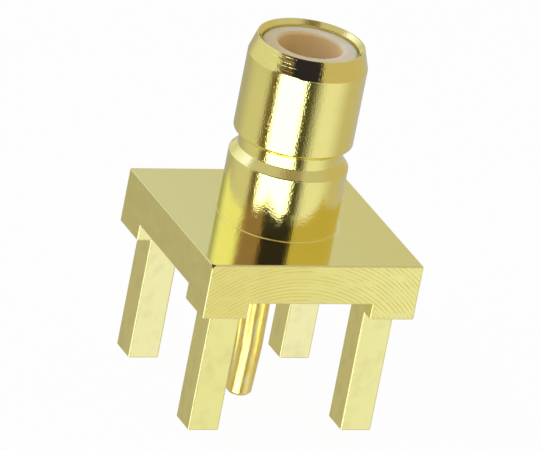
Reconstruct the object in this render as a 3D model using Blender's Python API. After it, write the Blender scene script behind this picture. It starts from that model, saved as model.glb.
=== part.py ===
# Board-mount coaxial jack, upright on +Z, with the origin under its axis at its lowest point.
# It has three pieces: a gold-plated brass body, turned and milled from one bar, a white PTFE
# insulator pushed into its barrel, and a gold-plated centre contact held in the insulator.

import math

import bmesh
import bpy
from mathutils import Matrix, Vector

MM = 0.001

# Square flange, with a pad and a leg at each corner that are flush on their inner sides
FLANGE_WIDTH = 7.0 * MM
PLATE_THICKNESS = 1.29 * MM
PAD_HEIGHT = 0.5 * MM
LEG_PITCH = 5.08 * MM
LEG_WIDTH = 1.0 * MM
LEG_LENGTH = 3.96 * MM
EDGE_BREAK = 0.045 * MM

# Turned barrel, with a tapered nose and a snap groove, measured up from the flange
BARREL_DIAMETER = 3.7 * MM
BARREL_HEIGHT = 5.91 * MM
NOSE_DIAMETER = 3.32 * MM
NOSE_TAPER = 0.61 * MM
NOSE_EDGE = 0.03 * MM
GROOVE_BASE = 2.02 * MM
GROOVE_DIAMETER = 3.24 * MM
LOWER_FLANK = 0.26 * MM
GROOVE_FLOOR = 0.37 * MM
UPPER_FLANK = 0.15 * MM
GROOVE_EDGE = 0.08 * MM
ROOT_FILLET = 0.06 * MM

# Bore through the barrel, down to a lip in the flange that the insulator rests on
BORE_DIAMETER = 3.0 * MM
BORE_CHAMFER = 0.13 * MM
LIP_DIAMETER = 2.5 * MM
LIP_THICKNESS = 0.5 * MM

# Insulator, a liner whose front ring rises a little inward, and that is solid below the socket
LINER_RECESS = 0.17 * MM
RING_RISE = 0.06 * MM
SOCKET_DIAMETER = 2.1 * MM
SOCKET_DEPTH = 3.2 * MM
SOCKET_CHAMFER = 0.1 * MM
SHOULDER_COVER = 0.9 * MM

# Centre contact, a mating pin, a barbed shoulder inside the insulator and a solder tail
PIN_DIAMETER = 0.51 * MM
PIN_RECESS = 1.35 * MM
PIN_CROWN = 0.12 * MM
SHOULDER_DIAMETER = 1.0 * MM
SHOULDER_LENGTH = 0.5 * MM
BARB_LENGTH = 0.25 * MM
TAIL_DIAMETER = 0.8 * MM
TAIL_CHAMFER = 0.1 * MM
TAIL_PROUD = 0.15 * MM

# The tail is bent a little to the left below the flange
TAIL_LEAN = math.radians(2.1)
BEND_DROP = 0.25 * MM
BEND_LENGTH = 0.6 * MM

FIT = 0.02 * MM
OVERCUT = 1.0 * MM
MERGE = 0.0001 * MM
SEGMENTS = 64
ARC_STEPS = 4
SHARP_ANGLE = math.radians(25)

SEAT_Z = TAIL_PROUD + LEG_LENGTH
UNDERSIDE_Z = SEAT_Z + PAD_HEIGHT
FLANGE_Z = UNDERSIDE_Z + PLATE_THICKNESS
NOSE_Z = FLANGE_Z + BARREL_HEIGHT
LEDGE_Z = UNDERSIDE_Z + LIP_THICKNESS
LINER_Z = NOSE_Z - LINER_RECESS
SOCKET_FLOOR_Z = LINER_Z - SOCKET_DEPTH
SHOULDER_Z = SOCKET_FLOOR_Z - SHOULDER_COVER
PIN_TIP_Z = NOSE_Z - PIN_RECESS


def clear_scene():
    for obj in list(bpy.data.objects):
        bpy.data.objects.remove(obj, do_unlink=True)


def material(name, color, metallic, roughness):
    mat = bpy.data.materials.new(name)
    mat.use_nodes = True
    shader = mat.node_tree.nodes["Principled BSDF"]
    shader.inputs["Base Color"].default_value = (*color, 1.0)
    shader.inputs["Metallic"].default_value = metallic
    shader.inputs["Roughness"].default_value = roughness
    mat.diffuse_color = (*color, 1.0)
    return mat


def add_object(name, bm, mat=None):
    """Make an object from a bmesh, smooth on its round faces and sharp at its edges."""
    mesh = bpy.data.meshes.new(name)
    bm.to_mesh(mesh)
    bm.free()
    mesh.shade_smooth()
    mesh.set_sharp_from_angle(angle=SHARP_ANGLE)
    obj = bpy.data.objects.new(name, mesh)
    bpy.context.scene.collection.objects.link(obj)
    if mat:
        mesh.materials.append(mat)
    return obj


def combine(target, tool, operation):
    """Apply one helper solid to the target, and keep it as a wire guide only."""
    tool.hide_render = True
    tool.display_type = "WIRE"
    modifier = target.modifiers.new(tool.name, "BOOLEAN")
    modifier.operation = operation
    modifier.solver = "EXACT"
    modifier.object = tool


def rounded(before, corner, after, radius):
    """Points of the arc that rounds a corner of an outline, tangent to both of its sides."""
    corner = Vector(corner)
    back = (Vector(before) - corner).normalized()
    ahead = (Vector(after) - corner).normalized()
    half = back.angle(ahead) / 2
    center = corner + (back + ahead).normalized() * radius / math.sin(half)
    first = (corner + back * radius / math.tan(half) - center).normalized()
    last = (corner + ahead * radius / math.tan(half) - center).normalized()
    steps = [first.slerp(last, i / ARC_STEPS) for i in range(ARC_STEPS + 1)]
    return [tuple(center + step * radius) for step in steps]


def dome(radius, tip, height):
    """Points of a low dome, from its tip on the axis out to its rim."""
    angles = [math.pi / 2 * i / ARC_STEPS for i in range(ARC_STEPS + 1)]
    return [(radius * math.sin(a), tip - height * (1 - math.cos(a))) for a in angles]


def turned(outline, ring=False):
    """Spin an outline of (radius, height) points, listed from the top down its outer side."""
    bm = bmesh.new()
    verts = [bm.verts.new((radius, 0.0, z)) for radius, z in outline]
    ends = verts[1:] + verts[:1] if ring else verts[1:]
    edges = [bm.edges.new(pair) for pair in zip(verts, ends)]
    bmesh.ops.spin(bm, geom=verts + edges, cent=(0, 0, 0), axis=(0, 0, 1),
                   angle=math.tau, steps=SEGMENTS, use_merge=True)
    bmesh.ops.remove_doubles(bm, verts=bm.verts, dist=MERGE)
    bmesh.ops.recalc_face_normals(bm, faces=bm.faces)
    return bm


def split_faces(bm, faces, offset):
    """Cut faces that look down along the four lines that lie at an offset from the centre."""
    for axis in (Vector((1, 0, 0)), Vector((0, 1, 0))):
        for side in (-1, 1):
            geom = faces + list({edge for face in faces for edge in face.edges})
            geom += list({vert for face in faces for vert in face.verts})
            cut = bmesh.ops.bisect_plane(bm, geom=geom, dist=MERGE,
                                         plane_co=axis * side * offset, plane_no=axis)
            faces = [item for item in cut["geom"] if isinstance(item, bmesh.types.BMFace)]
    return faces


def drop_faces(bm, faces, depth):
    """Extrude each face straight down, and return the faces at its new end."""
    ends = bmesh.ops.extrude_discrete_faces(bm, faces=faces)["faces"]
    verts = list({vert for face in ends for vert in face.verts})
    bmesh.ops.translate(bm, verts=verts, vec=(0, 0, -depth))
    return ends


def in_corner(face, low, high):
    center = face.calc_center_median()
    return low < abs(center.x) < high and low < abs(center.y) < high


def milled_base():
    """The flange plate, with its corner pads and legs left standing by the milled channels."""
    leg_inner = (LEG_PITCH - LEG_WIDTH) / 2
    leg_outer = (LEG_PITCH + LEG_WIDTH) / 2
    edge = FLANGE_WIDTH / 2
    bm = bmesh.new()
    size = Matrix.Diagonal((FLANGE_WIDTH, FLANGE_WIDTH, PLATE_THICKNESS, 1.0))
    place = Matrix.Translation((0, 0, UNDERSIDE_Z + PLATE_THICKNESS / 2))
    bmesh.ops.create_cube(bm, size=1.0, matrix=place @ size)
    bm.normal_update()
    underside = [face for face in bm.faces if face.normal.z < -0.5]
    pads = [face for face in split_faces(bm, underside, leg_inner) if in_corner(face, leg_inner, edge)]
    pads = drop_faces(bm, pads, PAD_HEIGHT)
    legs = [face for face in split_faces(bm, pads, leg_outer) if in_corner(face, leg_inner, leg_outer)]
    drop_faces(bm, legs, LEG_LENGTH)
    bm.normal_update()
    sharp = [e for e in bm.edges if e.calc_face_angle_signed() > math.radians(45)]
    bmesh.ops.bevel(bm, geom=sharp, offset=EDGE_BREAK, offset_type="OFFSET", affect="EDGES",
                    segments=1, profile=0.5, material=-1, clamp_overlap=True)
    return bm


def barrel_outline():
    """Outer side of the barrel, from the nose down to a foot sunk into the flange plate."""
    radius = BARREL_DIAMETER / 2
    nose = NOSE_DIAMETER / 2
    groove = GROOVE_DIAMETER / 2
    foot = radius + ROOT_FILLET
    lower_rim = FLANGE_Z + GROOVE_BASE
    floor_low = lower_rim + LOWER_FLANK
    floor_high = floor_low + GROOVE_FLOOR
    upper_rim = floor_high + UPPER_FLANK
    corners = [
        (0.0, NOSE_Z, 0.0),
        (nose, NOSE_Z, NOSE_EDGE),
        (radius, NOSE_Z - NOSE_TAPER, 0.0),
        (radius, upper_rim, GROOVE_EDGE),
        (groove, floor_high, 0.0),
        (groove, floor_low, 0.0),
        (radius, lower_rim, GROOVE_EDGE),
        (radius, FLANGE_Z, ROOT_FILLET),
        (foot, FLANGE_Z, 0.0),
    ]
    points = []
    for before, (r, z, rounding), after in zip(corners[:1] + corners, corners, corners[1:]):
        if rounding:
            points += rounded(before[:2], (r, z), after[:2], rounding)
        else:
            points.append((r, z))
    sunk = FLANGE_Z - PLATE_THICKNESS / 2
    return points + [(foot, sunk), (0.0, sunk)]


def bore_outline():
    """The stepped hole, run past both ends of the body."""
    bore = BORE_DIAMETER / 2
    lip = LIP_DIAMETER / 2
    mouth = bore + BORE_CHAMFER + OVERCUT
    points = [(0.0, NOSE_Z + OVERCUT), (mouth, NOSE_Z + OVERCUT), (bore, NOSE_Z - BORE_CHAMFER)]
    points += [(bore, LEDGE_Z), (lip, LEDGE_Z)]
    points += [(lip, UNDERSIDE_Z - OVERCUT), (0.0, UNDERSIDE_Z - OVERCUT)]
    return points


def insulator_outline():
    """Closed section of the insulator, a fit smaller than its bore and larger than the contact."""
    outer = BORE_DIAMETER / 2 - FIT
    spigot = LIP_DIAMETER / 2 - FIT
    tail_hole = TAIL_DIAMETER / 2 + FIT
    pocket = SHOULDER_DIAMETER / 2 + FIT
    pin_hole = PIN_DIAMETER / 2 + FIT
    socket = SOCKET_DIAMETER / 2
    barb_low = SHOULDER_Z - BARB_LENGTH
    return [
        (socket + SOCKET_CHAMFER, LINER_Z + RING_RISE),
        (outer, LINER_Z),
        (outer, LEDGE_Z + FIT),
        (spigot, LEDGE_Z + FIT),
        (spigot, UNDERSIDE_Z),
        (tail_hole, UNDERSIDE_Z),
        (tail_hole, SHOULDER_Z - SHOULDER_LENGTH - FIT),
        (pocket, SHOULDER_Z - SHOULDER_LENGTH - FIT),
        (pocket, barb_low),
        (pin_hole, SHOULDER_Z + FIT),
        (pin_hole, SOCKET_FLOOR_Z),
        (socket, SOCKET_FLOOR_Z),
        (socket, LINER_Z + RING_RISE - SOCKET_CHAMFER),
    ]


def contact_outline():
    """Half section of the contact, from the domed tip of its pin to the end of its tail."""
    pin = PIN_DIAMETER / 2
    tail = TAIL_DIAMETER / 2
    shoulder = SHOULDER_DIAMETER / 2
    shoulder_low = SHOULDER_Z - SHOULDER_LENGTH
    bend_top = UNDERSIDE_Z - BEND_DROP
    points = dome(pin, PIN_TIP_Z, PIN_CROWN)
    points += [(pin, SHOULDER_Z), (shoulder, SHOULDER_Z - BARB_LENGTH)]
    points += [(shoulder, shoulder_low), (tail, shoulder_low)]
    points += [(tail, bend_top - BEND_LENGTH * i / ARC_STEPS) for i in range(ARC_STEPS + 1)]
    points += [(tail, TAIL_CHAMFER), (tail - TAIL_CHAMFER, 0.0), (0.0, 0.0)]
    return points


def lean(z):
    """How far the tail has bent to the left at a height."""
    drop = UNDERSIDE_Z - BEND_DROP - z
    if drop <= 0:
        return 0.0
    if drop < BEND_LENGTH:
        return math.tan(TAIL_LEAN) * drop * drop / (2 * BEND_LENGTH)
    return math.tan(TAIL_LEAN) * (drop - BEND_LENGTH / 2)


def make_body():
    gold = material("gold_plate", (0.80, 0.62, 0.24), 1.0, 0.18)
    body = add_object("jack_body", milled_base(), gold)
    combine(body, add_object("barrel_form", turned(barrel_outline())), "UNION")
    combine(body, add_object("bore_cutter", turned(bore_outline())), "DIFFERENCE")
    seams = body.modifiers.new("joined_seams", "WELD")
    seams.merge_threshold = MERGE


def make_insulator():
    ptfe = material("white_ptfe", (0.78, 0.76, 0.72), 0.0, 0.45)
    add_object("insulator", turned(insulator_outline(), ring=True), ptfe)


def make_contact():
    plate = material("contact_gold_plate", (0.80, 0.62, 0.24), 1.0, 0.25)
    bm = turned(contact_outline())
    for vert in bm.verts:
        vert.co.x -= lean(vert.co.z)
    add_object("centre_contact", bm, plate)


clear_scene()
make_body()
make_insulator()
make_contact()
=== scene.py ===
import math

import bmesh
import bpy
from mathutils import Matrix, Quaternion, Vector


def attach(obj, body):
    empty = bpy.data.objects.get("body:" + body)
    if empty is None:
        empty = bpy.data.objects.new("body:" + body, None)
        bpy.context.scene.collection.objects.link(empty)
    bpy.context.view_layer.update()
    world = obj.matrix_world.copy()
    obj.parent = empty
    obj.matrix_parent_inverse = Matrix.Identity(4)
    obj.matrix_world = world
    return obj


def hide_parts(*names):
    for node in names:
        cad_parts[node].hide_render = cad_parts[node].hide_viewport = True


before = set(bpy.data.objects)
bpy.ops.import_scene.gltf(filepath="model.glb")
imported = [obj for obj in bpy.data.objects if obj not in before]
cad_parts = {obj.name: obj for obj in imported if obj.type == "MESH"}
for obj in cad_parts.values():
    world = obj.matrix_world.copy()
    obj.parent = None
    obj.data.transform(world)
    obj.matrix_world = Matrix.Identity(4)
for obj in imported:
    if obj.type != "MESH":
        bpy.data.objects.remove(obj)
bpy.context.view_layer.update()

# The camera stands in front of the jack, to its left and a little above it, with a long lens that
# keeps the legs nearly parallel. It is rolled, so that the upright barrel leans to the right.
MM = 0.001
AZIMUTH = math.radians(-26.17)
ELEVATION = math.radians(22.66)
ROLL = math.radians(11.17)
AIM = Vector((-0.136, 0.067, 5.598)) * MM
DISTANCE = 386.6 * MM
FOCAL_LENGTH = 846.2

camera_data = bpy.data.cameras.new("camera")
camera_data.sensor_width = 36.0
camera_data.lens = FOCAL_LENGTH
camera_data.clip_start = 0.01
camera_data.clip_end = 2.0
camera = bpy.data.objects.new("camera", camera_data)
bpy.context.scene.collection.objects.link(camera)
back = Vector((math.sin(AZIMUTH) * math.cos(ELEVATION),
               -math.cos(AZIMUTH) * math.cos(ELEVATION),
               math.sin(ELEVATION)))
camera.location = AIM + back * DISTANCE
camera.rotation_mode = "QUATERNION"
camera.rotation_quaternion = (-back).to_track_quat("-Z", "Y") @ Quaternion((0, 0, 1), ROLL)
bpy.context.scene.camera = camera
bpy.context.scene.view_settings.view_transform = "Standard"


# The studio is a light tent: white panels with dark gaps between them all round, because polished
# gold shows nothing but what stands round it. The sums below turn a direction into a bearing from
# the camera, positive to the right, and a height above the floor, both in degrees.
class Value:
    """A shader socket. Python's operators on it add the Math nodes that do the same sum."""

    def __init__(self, finish, socket):
        self.finish = finish
        self.socket = socket

    def math(self, operation, *values):
        return self.finish.node("Math", {"operation": operation}, dict(enumerate(values)))

    def __add__(self, other):
        return self.math("ADD", self, other)

    def __radd__(self, other):
        return self.math("ADD", other, self)

    def __sub__(self, other):
        return self.math("SUBTRACT", self, other)

    def __rsub__(self, other):
        return self.math("SUBTRACT", other, self)

    def __mul__(self, other):
        return self.math("MULTIPLY", self, other)

    def __rmul__(self, other):
        return self.math("MULTIPLY", other, self)

    def above(self, low, high):
        """0 below low, 1 over high, and a smooth rise between."""
        return self.finish.node("MapRange", {"interpolation_type": "SMOOTHSTEP"},
                                {0: self, 1: low, 2: high, 3: 0.0, 4: 1.0})

    def between(self, low, high, soft):
        """1 from low to high, with soft ends."""
        rise = self.above(low - soft / 2, low + soft / 2)
        return rise * (1 - self.above(high - soft / 2, high + soft / 2))


class Finish:
    """The nodes of a material or a world."""

    def __init__(self, owner):
        owner.use_nodes = True
        self.owner = owner
        self.tree = owner.node_tree
        self.tree.nodes.clear()

    def node(self, kind, settings, sockets, output=0):
        """Add a node: its settings first, then a number, a colour or a link for each socket."""
        made = self.tree.nodes.new("ShaderNode" + kind)
        for name, setting in settings.items():
            setattr(made, name, setting)
        for key, value in sockets.items():
            if isinstance(value, Value):
                self.tree.links.new(value.socket, made.inputs[key])
            else:
                made.inputs[key].default_value = value
        return Value(self, made.outputs[output]) if made.outputs else made

    def blend(self, share, first, second):
        """The first colour where share is 0, and the second where it is 1."""
        return self.node("Mix", {"data_type": "RGBA"}, {0: share, 6: first, 7: second}, 2)

    def parts(self, vector):
        """The X, Y and Z of a vector."""
        split = self.node("SeparateXYZ", {}, {0: vector})
        return [Value(self, output) for output in split.socket.node.outputs]


world = bpy.data.worlds.new("light_tent")
bpy.context.scene.world = world
tent = Finish(world)
across, along, up = tent.parts(tent.node("TexCoord", {}, {}, "Generated"))
to_right = across * math.cos(AZIMUTH) + along * math.sin(AZIMUTH)
to_camera = across * math.sin(AZIMUTH) - along * math.cos(AZIMUTH)
bearing = to_right.math("ARCTAN2", to_right, to_camera) * math.degrees(1)
height = up.math("ARCSINE", up) * math.degrees(1)


def join_panels(panels, joints):
    """Hang panels side by side: the bearings between which each one takes over, and its colour."""
    for start, end, colour in joints:
        panels = tent.blend(bearing.above(start, end), panels, colour)
    return panels


# Below the floor's level, which is what the upright walls show, the panels stand for the lit table.
low = join_panels((0.47, 0.435, 0.39, 1), [
    (-142, -95, (0.67, 0.63, 0.52, 1)),
    (-71, -57, (0.18, 0.125, 0.06, 1)),
    (-47, -43, (3.0, 3.0, 3.0, 1)),
    (6, 11, (0.08, 0.07, 0.033, 1)),
    (19, 50, (0.89, 0.86, 0.81, 1)),
    (66, 108, (0.60, 0.53, 0.40, 1)),
    (120, 160, (0.55, 0.52, 0.55, 1))])

# Above it hang the tent's own panels. The left one is brightest at its top, and ends in a brown edge
# that leans. A black gap lies in front, and a cream panel to the right of it.
high = join_panels((0.65, 0.65, 0.67, 1), [
    (-176, -168, (0.44, 0.45, 0.40, 1)),
    (-154, -118, (0.99, 1.02, 1.15, 1))])
bright = bearing.between(-118, -92, 6) * height.above(26, 36)
high = tent.blend(bright, high, (1.15, 1.17, 1.9, 1))
high = tent.blend(1 - height.above(4, 20), high, (0.755, 0.735, 0.62, 1))
brown = tent.blend(height.above(14, 19), (0.10, 0.075, 0.03, 1), (0.335, 0.21, 0.27, 1))
high = tent.blend((bearing + height).above(-53, -38) * (1 - height.above(34, 42)), high, brown)
high = join_panels(high, [
    (-28, -20, (0.026, 0.022, 0.05, 1)),
    (31, 37, (0.62, 0.515, 0.34, 1)),
    (150, 176, (0.65, 0.65, 0.67, 1))])
sides = tent.blend(height.above(-12, -4), low, high)
table_edge = height.between(-10, -2, 4) * bearing.between(8, 62, 10)
sides = tent.blend(table_edge, sides, (1.3, 1.3, 1.2, 1))

# The roof is grey cloth, darker in front, and darkest in an opening right over the jack.
roof = tent.blend(bearing.between(-12, 42, 20), (0.62, 0.57, 0.53, 1), (0.41, 0.34, 0.27, 1))
opening = bearing.between(-22, 36, 18) * height.above(60, 68)
roof = tent.blend(opening, roof, (0.22, 0.15, 0.11, 1))
seen = tent.blend((height + bearing.above(-96, -88) * 8).above(44, 50), sides, roof)
shown = tent.blend(tent.node("LightPath", {}, {}, "Is Camera Ray"), seen, (1, 1, 1, 1))
light = tent.node("Background", {}, {"Color": shown, "Strength": 1.0})
tent.node("OutputWorld", {}, {"Surface": light})

lamp_data = bpy.data.lights.new("soft_box", "AREA")
lamp_data.shape = "SQUARE"
lamp_data.size = 60 * MM
lamp_data.energy = 0.04
lamp = bpy.data.objects.new("soft_box", lamp_data)
bpy.context.scene.collection.objects.link(lamp)
lamp.visible_glossy = False
lamp.location = Vector((-90, -40, 120)) * MM
lamp.rotation_mode = "QUATERNION"
lamp.rotation_quaternion = (AIM - lamp.location).to_track_quat("-Z", "Y")

# The floor is pale paper. The camera sees it as the white of the picture, with a faint shadow of
# the jack, and the gold shows the tent below the floor's level in its place.
FLOOR_WHITE = 0.97
floor_mesh = bpy.data.meshes.new("floor")
bm = bmesh.new()
bmesh.ops.create_grid(bm, x_segments=1, y_segments=1, size=1.5)
bm.to_mesh(floor_mesh)
bm.free()
floor = bpy.data.objects.new("floor", floor_mesh)
bpy.context.scene.collection.objects.link(floor)
floor.visible_glossy = False
paper = Finish(bpy.data.materials.new("paper"))
matt = paper.node("BsdfDiffuse", {}, {"Color": (0.9, 0.9, 0.9, 1)})
white = paper.node("Emission", {}, {"Color": (1, 1, 1, 1), "Strength": 1.0})
share = paper.node("LightPath", {}, {}, "Is Camera Ray") * FLOOR_WHITE
surface = paper.node("MixShader", {}, {0: share, 1: matt, 2: white})
paper.node("OutputMaterial", {}, {"Surface": surface})
floor_mesh.materials.append(paper.owner)


# The body is one piece of brass, turned and milled from the bar and then plated with gold. The
# fly cutter that squared the flange left arcs on its sides, and the channels milled crosswise
# under it left the pads and legs standing at its corners.
FLANGE_WIDTH = 7.0 * MM
PLATE_THICKNESS = 1.29 * MM
PAD_HEIGHT = 0.5 * MM
LEG_PITCH = 5.08 * MM
LEG_WIDTH = 1.0 * MM
LEG_LENGTH = 3.96 * MM
LEG_INNER = (LEG_PITCH - LEG_WIDTH) / 2
LEG_OUTER = (LEG_PITCH + LEG_WIDTH) / 2
EDGE_BREAK = 0.045 * MM
SEAT_Z = 4.11 * MM
UNDERSIDE_Z = SEAT_Z + PAD_HEIGHT
FLANGE_Z = UNDERSIDE_Z + PLATE_THICKNESS
NEAR = 1e-6


def turn(outline, closed=False):
    """Spin an outline of (radius, height) points, in millimetres, about the jack's axis."""
    bm = bmesh.new()
    verts = [bm.verts.new((radius * MM, 0, height * MM)) for radius, height in outline]
    ends = verts[1:] + verts[:1] if closed else verts[1:]
    edges = [bm.edges.new(pair) for pair in zip(verts, ends)]
    bmesh.ops.spin(bm, geom=verts + edges, cent=(0, 0, 0), axis=(0, 0, 1),
                   angle=math.tau, steps=192, use_merge=True)
    bmesh.ops.remove_doubles(bm, verts=bm.verts, dist=NEAR / 100)
    bmesh.ops.recalc_face_normals(bm, faces=bm.faces)
    return bm


def round_rings(bm, rings):
    """Round each ring edge, given as (radius, height, size, steps) in millimetres."""
    for radius, height, size, steps in rings:
        ring = [edge for edge in bm.edges
                if all(abs(math.hypot(v.co.x, v.co.y) - radius * MM) < NEAR
                       and abs(v.co.z - height * MM) < NEAR for v in edge.verts)]
        bmesh.ops.bevel(bm, geom=ring, offset=size * MM, offset_type="OFFSET", affect="EDGES",
                        segments=steps, profile=0.5, material=-1)


def split_faces(bm, faces, offset):
    """Cut faces that look down along the four lines that lie at an offset from the axis."""
    for axis in (Vector((1, 0, 0)), Vector((0, 1, 0))):
        for side in (-1, 1):
            geom = faces + list({edge for face in faces for edge in face.edges})
            geom += list({vert for face in faces for vert in face.verts})
            cut = bmesh.ops.bisect_plane(bm, geom=geom, dist=NEAR / 10,
                                         plane_co=axis * side * offset, plane_no=axis)
            faces = [item for item in cut["geom"] if isinstance(item, bmesh.types.BMFace)]
    return faces


def drop_corners(bm, faces, reach, depth):
    """Extrude down the faces that lie between the legs' inner sides and the reach, both ways."""
    corners = []
    for face in faces:
        middle = face.calc_center_median()
        if LEG_INNER < abs(middle.x) < reach and LEG_INNER < abs(middle.y) < reach:
            corners.append(face)
    ends = bmesh.ops.extrude_discrete_faces(bm, faces=corners)["faces"]
    verts = list({vert for face in ends for vert in face.verts})
    bmesh.ops.translate(bm, verts=verts, vec=(0, 0, -depth))
    return ends


def add_piece(name, bm, materials, sharp=35):
    """Make an object of a finished mesh, smooth round its axis and in its roundings.

    A flat or a long wall keeps its own direction right up to the small rounding beside it, so
    an edge is also sharp where the face on one side of it is several times the other.
    """
    several = 5
    for edge in bm.edges:
        areas = [face.calc_area() for face in edge.link_faces]
        gentle = edge.calc_face_angle(0) < math.radians(sharp)
        edge.smooth = gentle and max(areas) < several * min(areas)
    for face in bm.faces:
        face.smooth = True
    mesh = bpy.data.meshes.new(name)
    bm.to_mesh(mesh)
    bm.free()
    for material in materials:
        mesh.materials.append(material)
    piece = bpy.data.objects.new(name, mesh)
    bpy.context.scene.collection.objects.link(piece)
    return piece


# From the flange up: the straight wall, the snap groove, the wall again, the tapered nose and its
# lip, and down the bore to the ledge that stops the insulator.
barrel = turn([
    (2.0, 5.9), (1.85, 5.9), (1.85, 7.92), (1.62, 8.18), (1.62, 8.55), (1.85, 8.7),
    (1.85, 11.2), (1.66, 11.81), (1.63, 11.81), (1.5, 11.68), (1.5, 5.11), (1.25, 5.11),
    (1.25, 4.61)])
round_rings(barrel, [
    (1.85, 5.9, 0.027, 4), (1.85, 7.92, 0.02, 4), (1.62, 8.18, 0.01, 2), (1.62, 8.55, 0.02, 3),
    (1.85, 8.7, 0.045, 6), (1.85, 11.2, 0.006, 2), (1.66, 11.81, 0.012, 3),
    (1.63, 11.81, 0.012, 3), (1.5, 11.68, 0.01, 2)])
turned_mesh = bpy.data.meshes.new("turned")
barrel.to_mesh(turned_mesh)
barrel.free()

body = bmesh.new()
size = Matrix.Diagonal((FLANGE_WIDTH, FLANGE_WIDTH, PLATE_THICKNESS, 1))
centre = Matrix.Translation((0, 0, UNDERSIDE_Z + PLATE_THICKNESS / 2))
bmesh.ops.create_cube(body, size=1, matrix=centre @ size)
body.normal_update()
under = split_faces(body, [face for face in body.faces if face.normal.z < -0.5], LEG_INNER)
pads = drop_corners(body, under, FLANGE_WIDTH / 2, PAD_HEIGHT)
pads = split_faces(body, pads, LEG_OUTER)
drop_corners(body, pads, LEG_OUTER, LEG_LENGTH)
body.normal_update()
outer = [edge for edge in body.edges if edge.calc_face_angle_signed() > math.radians(45)]
bmesh.ops.bevel(body, geom=outer, offset=EDGE_BREAK, offset_type="OFFSET", affect="EDGES",
                segments=3, profile=0.5, material=-1, clamp_overlap=True)
TURNED, TOP, FRONT, SIDE, MILLED, EDGE = range(6)
for face in body.faces:
    face.material_index = MILLED
body.from_mesh(turned_mesh)
body.normal_update()


def open_face(bm, level, facing):
    """Put the hole of the turned part's end ring in the flat face at its level."""
    flats = [f for f in bm.faces if f.material_index == MILLED and f.normal.z * facing > 0.99
             and abs(f.calc_center_median().z - level) < NEAR]
    flat = min(flats, key=lambda f: f.calc_center_median().xy.length)
    ring = [e for e in bm.edges if e.is_boundary
            and all(abs(v.co.z - level) < NEAR for v in e.verts)]
    rim = list(flat.edges)
    bmesh.ops.delete(bm, geom=[flat], context="FACES_ONLY")
    filled = bmesh.ops.triangle_fill(bm, use_beauty=True, edges=rim + ring, normal=(0, 0, facing))
    for item in filled["geom"]:
        if isinstance(item, bmesh.types.BMFace):
            item.material_index = MILLED


open_face(body, FLANGE_Z, 1)
open_face(body, UNDERSIDE_Z, -1)
bmesh.ops.recalc_face_normals(body, faces=body.faces)
body.normal_update()
for face in body.faces:
    middle = face.calc_center_median()
    if face.material_index != TURNED:
        if max(abs(part) for part in face.normal) < 0.999:
            face.material_index = EDGE
        elif middle.z > FLANGE_Z - NEAR:
            face.material_index = TOP
        elif abs(middle.y) > FLANGE_WIDTH / 2 - NEAR:
            face.material_index = FRONT
        elif abs(middle.x) > FLANGE_WIDTH / 2 - NEAR:
            face.material_index = SIDE

GOLD = (0.93, 0.875, 0.33, 1)


def place_on(finish):
    """The point on the piece, and then its X, Y and Z in millimetres."""
    place = finish.node("TexCoord", {}, {}, "Object")
    enlarged = finish.node("VectorMath", {"operation": "SCALE"}, {0: place, 3: 1000.0})
    return place, *finish.parts(enlarged)


def noise(finish, place, size, detail=2.0, seed=0.0):
    """A grain whose patches have a size along X, Y and Z, in millimetres."""
    scale = tuple(1000 / part for part in size)
    moved = finish.node("Mapping", {}, {
        "Vector": place, "Location": (seed, seed, seed), "Scale": scale})
    return finish.node("TexNoise", {}, {"Vector": moved, "Scale": 1.0, "Detail": detail})


def tinted(finish, share, dark, colour=GOLD):
    """The colour, down to its dark part where share is 0."""
    shade = finish.blend(dark, (0, 0, 0, 1), colour)
    return finish.blend(share, shade, colour)


def metal(finish, colour, roughness, relief, facing=None):
    """Gold plate whose relief is a height in metres, and whose faces may be turned a little."""
    bumps = {"Strength": 1.0, "Distance": 1.0, "Height": relief}
    if facing:
        bumps["Normal"] = facing
    bump = finish.node("Bump", {}, bumps)
    shader = finish.node("BsdfPrincipled", {}, {
        "Base Color": colour, "Metallic": 1.0, "Roughness": roughness, "Normal": bump})
    finish.node("OutputMaterial", {}, {"Surface": shader})
    return finish.owner


def turned_gold():
    """A bright turned wall with a fine grain, and tool marks on the left of the nose's taper.

    The wall's lower half and the groove's floor show the brightest panel wider than the rest of
    the barrel does, so their faces swing a little to the left and right on the front side.
    """
    gold = Finish(bpy.data.materials.new("turned_gold"))
    place, across, along, up = place_on(gold)
    grain = noise(gold, place, (0.052, 0.052, 0.052), 1.0) * 4.5e-6
    wear = noise(gold, place, (0.8, 0.8, 0.3), 3.0, 5)
    marked = up.above(11.2, 11.24) * across.between(-1.5, -0.95, 0.3) * (1 - along.above(-1, 0))
    ridges = noise(gold, place, (2.0, 2.0, 0.08), 1.0, 3) * marked * 2.3e-5
    ripple = noise(gold, place, (0.5, 0.5, 0.4), 1.0, 11) * (1 - up.above(6.2, 6.6)) * 0.9e-5
    sideways = across * math.cos(AZIMUTH) + along * math.sin(AZIMUTH)
    right = sideways.above(-0.4, 0.25) * (1 - sideways.above(0.38, 0.7)) * 0.058
    left = sideways.above(-1.15, -0.85) * (1 - sideways.above(-0.75, -0.35)) * 0.025
    swing = (left - right) * up.between(6.8, 8.65, 0.1) * (1 - along.above(0, 0.1))
    rightward = (math.cos(AZIMUTH), math.sin(AZIMUTH), 0.0)
    shift = gold.node("VectorMath", {"operation": "SCALE"}, {0: rightward, 3: swing})
    wall = gold.node("NewGeometry", {}, {}, "Normal")
    facing = gold.node("VectorMath", {"operation": "ADD"}, {0: wall, 1: shift})
    relief = grain + ridges + ripple
    return metal(gold, tinted(gold, wear, 0.94), 0.09 + wear * 0.03, relief, facing)


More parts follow.
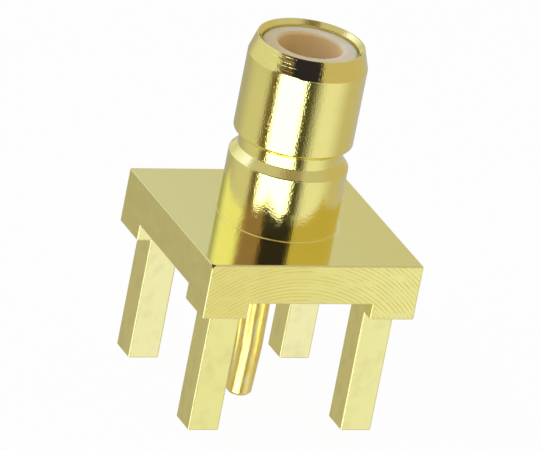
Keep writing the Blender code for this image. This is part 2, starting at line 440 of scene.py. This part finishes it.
def polished_gold():
    """The flange's top, a mirror with slow waves. Its gold is painted a little redder to the right,
    a painted reflection.
    """
    gold = Finish(bpy.data.materials.new("polished_gold"))
    place, across = place_on(gold)[:2]
    waves = noise(gold, place, (1.6, 1.6, 1.6), 1.0, 2)
    wear = noise(gold, place, (1.5, 1.5, 1.5), 3.0, 9)
    # Painted reflection: the mirror's gold runs from pale on the left to redder on the right.
    colour = gold.blend(across.above(-3.5, 3.5), (0.93, 0.88, 0.345, 1), (0.91, 0.81, 0.245, 1))
    return metal(gold, tinted(gold, wear, 0.97, colour), 0.07 + wear * 0.03, waves * 3.0e-6)


def fly_cut_gold(name, axis, centre, ends, dark, share):
    """Arcs struck about a point, given along the flange's side and up, in millimetres.

    The plate runs from the first to the second of its end colours along the side, a painted
    reflection, and the arcs are dark lines in it, as strong as their share.
    """
    pitch = 0.118
    gold = Finish(bpy.data.materials.new(name))
    place, *spot = place_on(gold)
    sideways = spot[axis] - centre[0]
    upward = spot[2] - centre[1]
    radius = sideways.math("SQRT", sideways * sideways + upward * upward)
    outward = gold.node("CombineXYZ", {}, {0: radius * MM})
    uneven = noise(gold, outward, (0.3, 1, 1), 1.0, 6) * 0.14
    wobble = noise(gold, place, (0.8, 0.8, 0.4), 2.0) * 0.03
    wave = radius.math("SINE", (radius + (uneven + wobble)) * (math.tau / pitch))
    strength = noise(gold, place, (0.8, 0.8, 0.25), 2.0, 4).above(0.3, 0.6) * share
    line = wave.above(0.2, 1.0) * strength
    grain = noise(gold, place, (0.05, 0.05, 0.03), 2.0, 7)
    satin = noise(gold, place, (0.6, 0.6, 0.6), 3.0, 8)
    # Painted reflection: the face's gold runs from one end colour to the other along the side.
    plate = gold.blend(spot[axis].above(-2, 4.3), *ends)
    colour = gold.blend(line, tinted(gold, satin.above(0.3, 0.7), 0.96, plate), dark)
    return metal(gold, colour, 0.18 - line * 0.04, grain * 0.6e-6 - line * 0.8e-6)


def milled_gold():
    """The legs and pads, cloudy from the cutter. Their fronts have a painted sheen: paler than their
    sides, and paler still towards the back.
    """
    gold = Finish(bpy.data.materials.new("milled_gold"))
    place, across, along = place_on(gold)[:3]
    patches = noise(gold, place, (0.5, 0.5, 0.7), 5.0)
    grain = noise(gold, place, (0.06, 0.06, 0.05), 3.0, 3)
    # Painted sheen: faces that don't look along X get a paler, brighter gold than the sides, paler
    # still towards the back.
    pale = (along + across * 0.6).above(-4, 2)
    front = gold.blend(pale, (0.935, 0.915, 0.38, 1), (0.995, 0.99, 0.54, 1))
    facing = gold.parts(gold.node("TexCoord", {}, {}, "Normal"))[0]
    colour = gold.blend((facing * facing).above(0.4, 0.8), front, (0.93, 0.875, 0.34, 1))
    colour = tinted(gold, patches.above(0.3, 0.55), 0.91, colour)
    return metal(gold, colour, 0.13 + patches * 0.06, grain * 0.6e-6 + patches * 2.0e-6)


def edge_gold():
    """The broken edges, matt and nicked, with a near-black spot painted at the flange's front left
    corner.
    """
    # A near-black spot is painted on the edges round this point.
    dark_spot = Vector((-3.49, -3.49, 5.89)) * MM
    gold = Finish(bpy.data.materials.new("edge_gold"))
    place = gold.node("TexCoord", {}, {}, "Object")
    nicks = noise(gold, place, (0.12, 0.12, 0.12), 3.0)
    colour = tinted(gold, nicks.above(0.3, 0.5), 0.88, (0.95, 0.92, 0.45, 1))
    away = gold.node("VectorMath", {"operation": "DISTANCE"}, {0: place, 1: dark_spot}, 1) * 1000
    colour = gold.blend(away.above(0.06, 0.13), (0.12, 0.07, 0.02, 1), colour)
    return metal(gold, colour, 0.38 + nicks * 0.1, nicks * 4.0e-6)


jack = add_piece("jack", body, [
    turned_gold(),
    polished_gold(),
    # The fly-cut faces' end colours are painted reflection: the front darker on the left and paler
    # on the right, the side a little darker towards the back.
    fly_cut_gold("fly_cut_front", 0, (-0.4, 1.15), ((0.875, 0.81, 0.285, 1), (0.965, 0.95, 0.40, 1)),
                 (0.76, 0.66, 0.19, 1), 0.95),
    fly_cut_gold("fly_cut_side", 1, (3.6, 3.2), (GOLD, (0.90, 0.85, 0.32, 1)),
                 (0.74, 0.66, 0.23, 1), 0.7),
    milled_gold(),
    edge_gold()], sharp=16)
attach(jack, "root")
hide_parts("jack_body")


# The insulator is turned from white PTFE and pushed into the barrel from the nose, down to the
# ledge. Its front ring stands a little below the nose, with the mating plug's socket inside it.

# From the socket's mouth: out over the ring, down the outside to the flange's underside, and up
# through the contact's hole and the pocket of its shoulder to the floor of the socket.
liner = turn([
    (0.98, 11.7), (1.42, 11.63), (1.495, 11.56), (1.495, 5.13), (1.23, 5.13), (1.23, 4.61),
    (0.42, 4.61), (0.42, 7.02), (0.52, 7.02), (0.52, 7.29), (0.275, 7.56), (0.275, 8.44),
    (0.98, 8.44)], closed=True)
round_rings(liner, [(0.98, 11.7, 0.16, 7), (1.42, 11.63, 0.02, 3), (0.98, 8.44, 0.1, 3)])
ptfe = Finish(bpy.data.materials.new("white_ptfe"))
place, across, along, up = place_on(ptfe)
cloud = noise(ptfe, place, (0.9, 0.9, 0.5), 2.0)
cuts = noise(ptfe, place, (0.3, 0.3, 0.06), 2.0, 6) * 1e-6
radius = up.math("SQRT", across * across + along * along)
# Painted light: the ring is painted darker and warmer on the left and paler on the right, for the
# light that falls on its right side.
ring = ptfe.blend(across.above(-1.4, 1.4), (0.74, 0.63, 0.40, 1), (0.91, 0.86, 0.70, 1))
ring = ptfe.blend(cloud.above(0.3, 0.7), ring, (0.80, 0.72, 0.56, 1))
# Painted shade: the socket inside the ring is painted tan, for the shade and gold light in that
# hollow.
colour = ptfe.blend(radius.above(0.975, 1.03), (0.94, 0.76, 0.45, 1), ring)
relief = ptfe.node("Bump", {}, {"Strength": 1.0, "Distance": 1.0, "Height": cuts})
shader = ptfe.node("BsdfPrincipled", {}, {
    "Base Color": colour, "Roughness": 0.4 + cloud * 0.1, "Normal": relief, "IOR": 1.38,
    "Subsurface Weight": 0.8, "Subsurface Radius": (1.0, 0.7, 0.45), "Subsurface Scale": 0.5 * MM})
ptfe.node("OutputMaterial", {}, {"Surface": shader})
insulator = add_piece("liner", liner, [ptfe.owner])
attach(insulator, "root")
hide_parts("insulator")


# The centre contact is turned brass with the same plating. Its pin stands in the socket, and its
# shoulder is held in the insulator. Its solder tail is bent a little to the left, and is thicker
# and stands further left under the flange.
TAIL_TOP = 4.55 * MM
TAIL_LEAN = math.tan(math.radians(2.1))
BEND_Z = 4.36 * MM
BEND_LENGTH = 0.6 * MM
SHIFT = 0.15 * MM
SHIFT_START = 1.5 * MM
SHIFT_LENGTH = 2.0 * MM

pin = turn([
    (0, 10.46), (0.255, 10.46), (0.255, 7.54), (0.5, 7.29), (0.5, 7.04), (0.4, 7.04),
    (0.4, 4.6), (0.46, 4.5), (0.46, 4.36), (0.46, 4.21), (0.46, 4.06), (0.46, 3.91), (0.46, 3.76),
    (0.45, 2.8), (0.42, 1.6), (0.4, 0.1), (0.3, 0), (0, 0)])
round_rings(pin, [(0.255, 10.46, 0.1, 4), (0.4, 0.1, 0.02, 2), (0.3, 0, 0.02, 2)])
for vert in pin.verts:
    if vert.co.z < TAIL_TOP:
        drop = max(BEND_Z - vert.co.z, 0)
        bent = drop * drop / (2 * BEND_LENGTH) if drop < BEND_LENGTH else drop - BEND_LENGTH / 2
        shifted = min(max((vert.co.z - SHIFT_START) / SHIFT_LENGTH, 0), 1)
        vert.co.x -= TAIL_LEAN * bent + SHIFT * shifted
plate = Finish(bpy.data.materials.new("contact_gold"))
place = plate.node("TexCoord", {}, {}, "Object")
streaks = noise(plate, place, (0.06, 0.06, 0.3), 3.0)
stains = noise(plate, place, (0.12, 0.12, 0.5), 3.0, 4)
colour = plate.blend(stains.above(0.35, 0.65), (0.94, 0.74, 0.20, 1), (0.97, 0.88, 0.38, 1))
colour = tinted(plate, streaks.above(0.2, 0.45), 0.85, colour)
contact = add_piece("contact", pin, [metal(plate, colour, 0.27 + streaks * 0.1, streaks * 2.5e-6)])
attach(contact, "root")
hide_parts("centre_contact")
